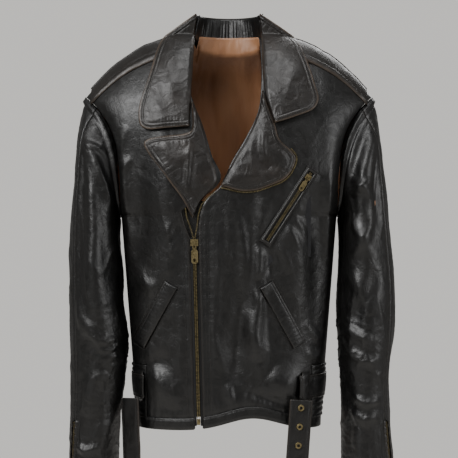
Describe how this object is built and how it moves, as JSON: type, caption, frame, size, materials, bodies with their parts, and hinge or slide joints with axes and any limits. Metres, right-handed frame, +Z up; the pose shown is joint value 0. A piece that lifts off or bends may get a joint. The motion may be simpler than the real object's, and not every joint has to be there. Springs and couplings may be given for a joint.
{
  "type": "leather riding jacket",
  "caption": "Leather riding jacket with a slanted front zip, wide lapels and collar, shoulder straps, slanted pockets, a chest zip pocket and a belt left hanging open.",
  "frame": {"origin": "The hanger seat: the middle of the neck, level with the inner ends of the shoulder seams, where a hanger holds the jacket.", "axes": "+Z up along the hanging jacket, -Y out of its front, +X towards the wearer's left."},
  "size_m": [0.5538, 0.2115, 0.8571],
  "materials": {
    "black_leather": "soft semi-gloss full-grain leather",
    "collar_leather": "the same leather, rubbed browner along its folds",
    "ribbed_leather": "pleated leather",
    "satin": "copper satin",
    "pocketing": "black cotton pocketing",
    "zip_tape": "woven zip tape",
    "antique_brass": "antique brass, rubbed bright on the edges"
  },
  "bodies": {
    "jacket": {"back_belt": "black_leather", "back_hem_band": "black_leather", "back_lining": "satin", "back_panel": "black_leather", "chest_pocket_bag": "pocketing", "chest_pocket_welt": "black_leather", "chest_zip_chain": "antique_brass", "collar_back": "collar_leather", "collar_stand": "collar_leather", "left_belt_loop": "black_leather", "left_epaulet": "black_leather", "left_front": "black_leather", "left_front_lining": "satin", "left_hem_band": "black_leather", "left_kidney_panel": "ribbed_leather", "left_pocket_bag": "pocketing", "left_pocket_welt": "black_leather", "left_zip_tape": "zip_tape", "left_zip_teeth": "antique_brass", "right_belt_loop": "black_leather", "right_epaulet": "black_leather", "right_front": "black_leather", "right_front_lining": "satin", "right_hem_band": "black_leather", "right_kidney_panel": "ribbed_leather", "right_pocket_bag": "pocketing", "right_pocket_welt": "black_leather", "right_zip_tape": "zip_tape", "right_zip_teeth": "antique_brass", "zip_retainer": "antique_brass", "zip_underlap": "black_leather"},
    "right_sleeve": {"right_sleeve_front": "black_leather", "right_sleeve_back": "black_leather", "right_sleeve_lining": "satin", "right_cuff_zip_chain": "antique_brass"},
    "right_cuff_slider": {"right_cuff_zip_slider": "antique_brass"},
    "right_cuff_pull": {"right_cuff_zip_pull": "antique_brass"},
    "right_collar": {"right_collar_leaf": "collar_leather"},
    "left_sleeve": {"left_sleeve_front": "black_leather", "left_sleeve_back": "black_leather", "left_sleeve_lining": "satin", "left_cuff_zip_chain": "antique_brass"},
    "left_cuff_slider": {"left_cuff_zip_slider": "antique_brass"},
    "left_cuff_pull": {"left_cuff_zip_pull": "antique_brass"},
    "left_collar": {"left_collar_leaf": "collar_leather"},
    "right_lapel_flap": {"right_lapel": "collar_leather"},
    "left_lapel_flap": {"left_lapel": "collar_leather", "left_lapel_teeth": "antique_brass"},
    "main_slider": {"main_zip_slider": "antique_brass"},
    "main_pull": {"main_zip_pull": "antique_brass"},
    "chest_slider": {"chest_zip_slider": "antique_brass"},
    "chest_pull": {"chest_zip_pull": "antique_brass"},
    "right_belt": {"right_belt_end": "black_leather"},
    "buckle": {"buckle_frame": "antique_brass"},
    "prong": {"buckle_prong": "antique_brass"},
    "left_belt": {"left_belt_end": "black_leather", "eyelet_1": "antique_brass", "eyelet_2": "antique_brass", "eyelet_3": "antique_brass", "eyelet_4": "antique_brass"}
  },
  "joints": [
    {"name": "right_sleeve_lift", "type": "hinge", "parent": "jacket", "child": "right_sleeve", "pos_m": [-0.2469, 0, -0.098], "axis": [0, 1, 0], "range_deg": [0, 35]},
    {"name": "left_sleeve_lift", "type": "hinge", "parent": "jacket", "child": "left_sleeve", "pos_m": [0.2469, 0, -0.098], "axis": [0, -1, 0], "range_deg": [0, 35]},
    {"name": "right_collar_lift", "type": "hinge", "parent": "jacket", "child": "right_collar", "pos_m": [-0.057, -0.053, -0.053], "axis": [0.028, 0.443, 0.8961], "range_deg": [0, 10], "stiffness_Nm_per_rad": 0.05},
    {"name": "left_collar_lift", "type": "hinge", "parent": "jacket", "child": "left_collar", "pos_m": [0.0555, -0.0515, -0.052], "axis": [0.042, -0.436, -0.899], "range_deg": [0, 10], "stiffness_Nm_per_rad": 0.05},
    {"name": "right_lapel_lift", "type": "hinge", "parent": "jacket", "child": "right_lapel_flap", "pos_m": [-0.034, -0.097, -0.1805], "axis": [-0.255, 0.152, 0.9549], "range_deg": [0, 20], "stiffness_Nm_per_rad": 0.05},
    {"name": "left_lapel_lift", "type": "hinge", "parent": "jacket", "child": "left_lapel_flap", "pos_m": [0.0215, -0.0936, -0.171], "axis": [-0.3933, -0.1641, -0.9047], "range_deg": [0, 20], "stiffness_Nm_per_rad": 0.05},
    {"name": "main_zip_slide", "type": "slide", "parent": "jacket", "child": "main_slider", "axis": [0.0249, 0, -0.9997], "range_m": [0, 0.28]},
    {"name": "main_pull_swing", "type": "hinge", "parent": "main_slider", "child": "main_pull", "pos_m": [-0.05729, -0.10922, -0.3465], "axis": [-0.9997, 0, -0.0249], "range_deg": [0, 90]},
    {"name": "chest_zip_slide", "type": "slide", "parent": "jacket", "child": "chest_slider", "axis": [-0.5434, -0.068, -0.8367], "range_m": [0, 0.115]},
    {"name": "chest_pull_swing", "type": "hinge", "parent": "chest_slider", "child": "chest_pull", "pos_m": [0.1314, -0.10327, -0.23854], "axis": [-0.8238, -0.1483, 0.5471], "range_deg": [0, 90]},
    {"name": "right_cuff_zip_slide", "type": "slide", "parent": "right_sleeve", "child": "right_cuff_slider", "axis": [0.0356, 0.0069, 0.9993], "range_m": [0, 0.065]},
    {"name": "right_cuff_pull_swing", "type": "hinge", "parent": "right_cuff_slider", "child": "right_cuff_pull", "pos_m": [-0.26427, -0.06716, -0.7218], "axis": [-0.6158, 0.7877, 0.0165], "range_deg": [0, 90]},
    {"name": "left_cuff_zip_slide", "type": "slide", "parent": "left_sleeve", "child": "left_cuff_slider", "axis": [-0.0867, 0.0069, 0.9962], "range_m": [0, 0.065]},
    {"name": "left_cuff_pull_swing", "type": "hinge", "parent": "left_cuff_slider", "child": "left_cuff_pull", "pos_m": [0.2716, -0.06717, -0.72176], "axis": [-0.6155, -0.7867, -0.0481], "range_deg": [0, 90]},
    {"name": "right_belt_swing", "type": "hinge", "parent": "jacket", "child": "right_belt", "pos_m": [-0.165, -0.076, -0.607], "axis": [-0.7873, 0.6151, -0.0436], "range_deg": [0, 70]},
    {"name": "buckle_tilt", "type": "hinge", "parent": "right_belt", "child": "buckle", "pos_m": [-0.1577, -0.07815, -0.76905], "axis": [-0.7873, 0.6151, -0.0436], "range_deg": [0, 70]},
    {"name": "prong_tilt", "type": "hinge", "parent": "buckle", "child": "prong", "pos_m": [-0.1577, -0.07815, -0.76905], "axis": [-0.7873, 0.6151, -0.0436], "range_deg": [0, 40]},
    {"name": "left_belt_swing", "type": "hinge", "parent": "jacket", "child": "left_belt", "pos_m": [0.119, -0.1081, -0.607], "axis": [-0.9824, -0.1732, 0.0698], "range_deg": [0, 70]}
  ]
}
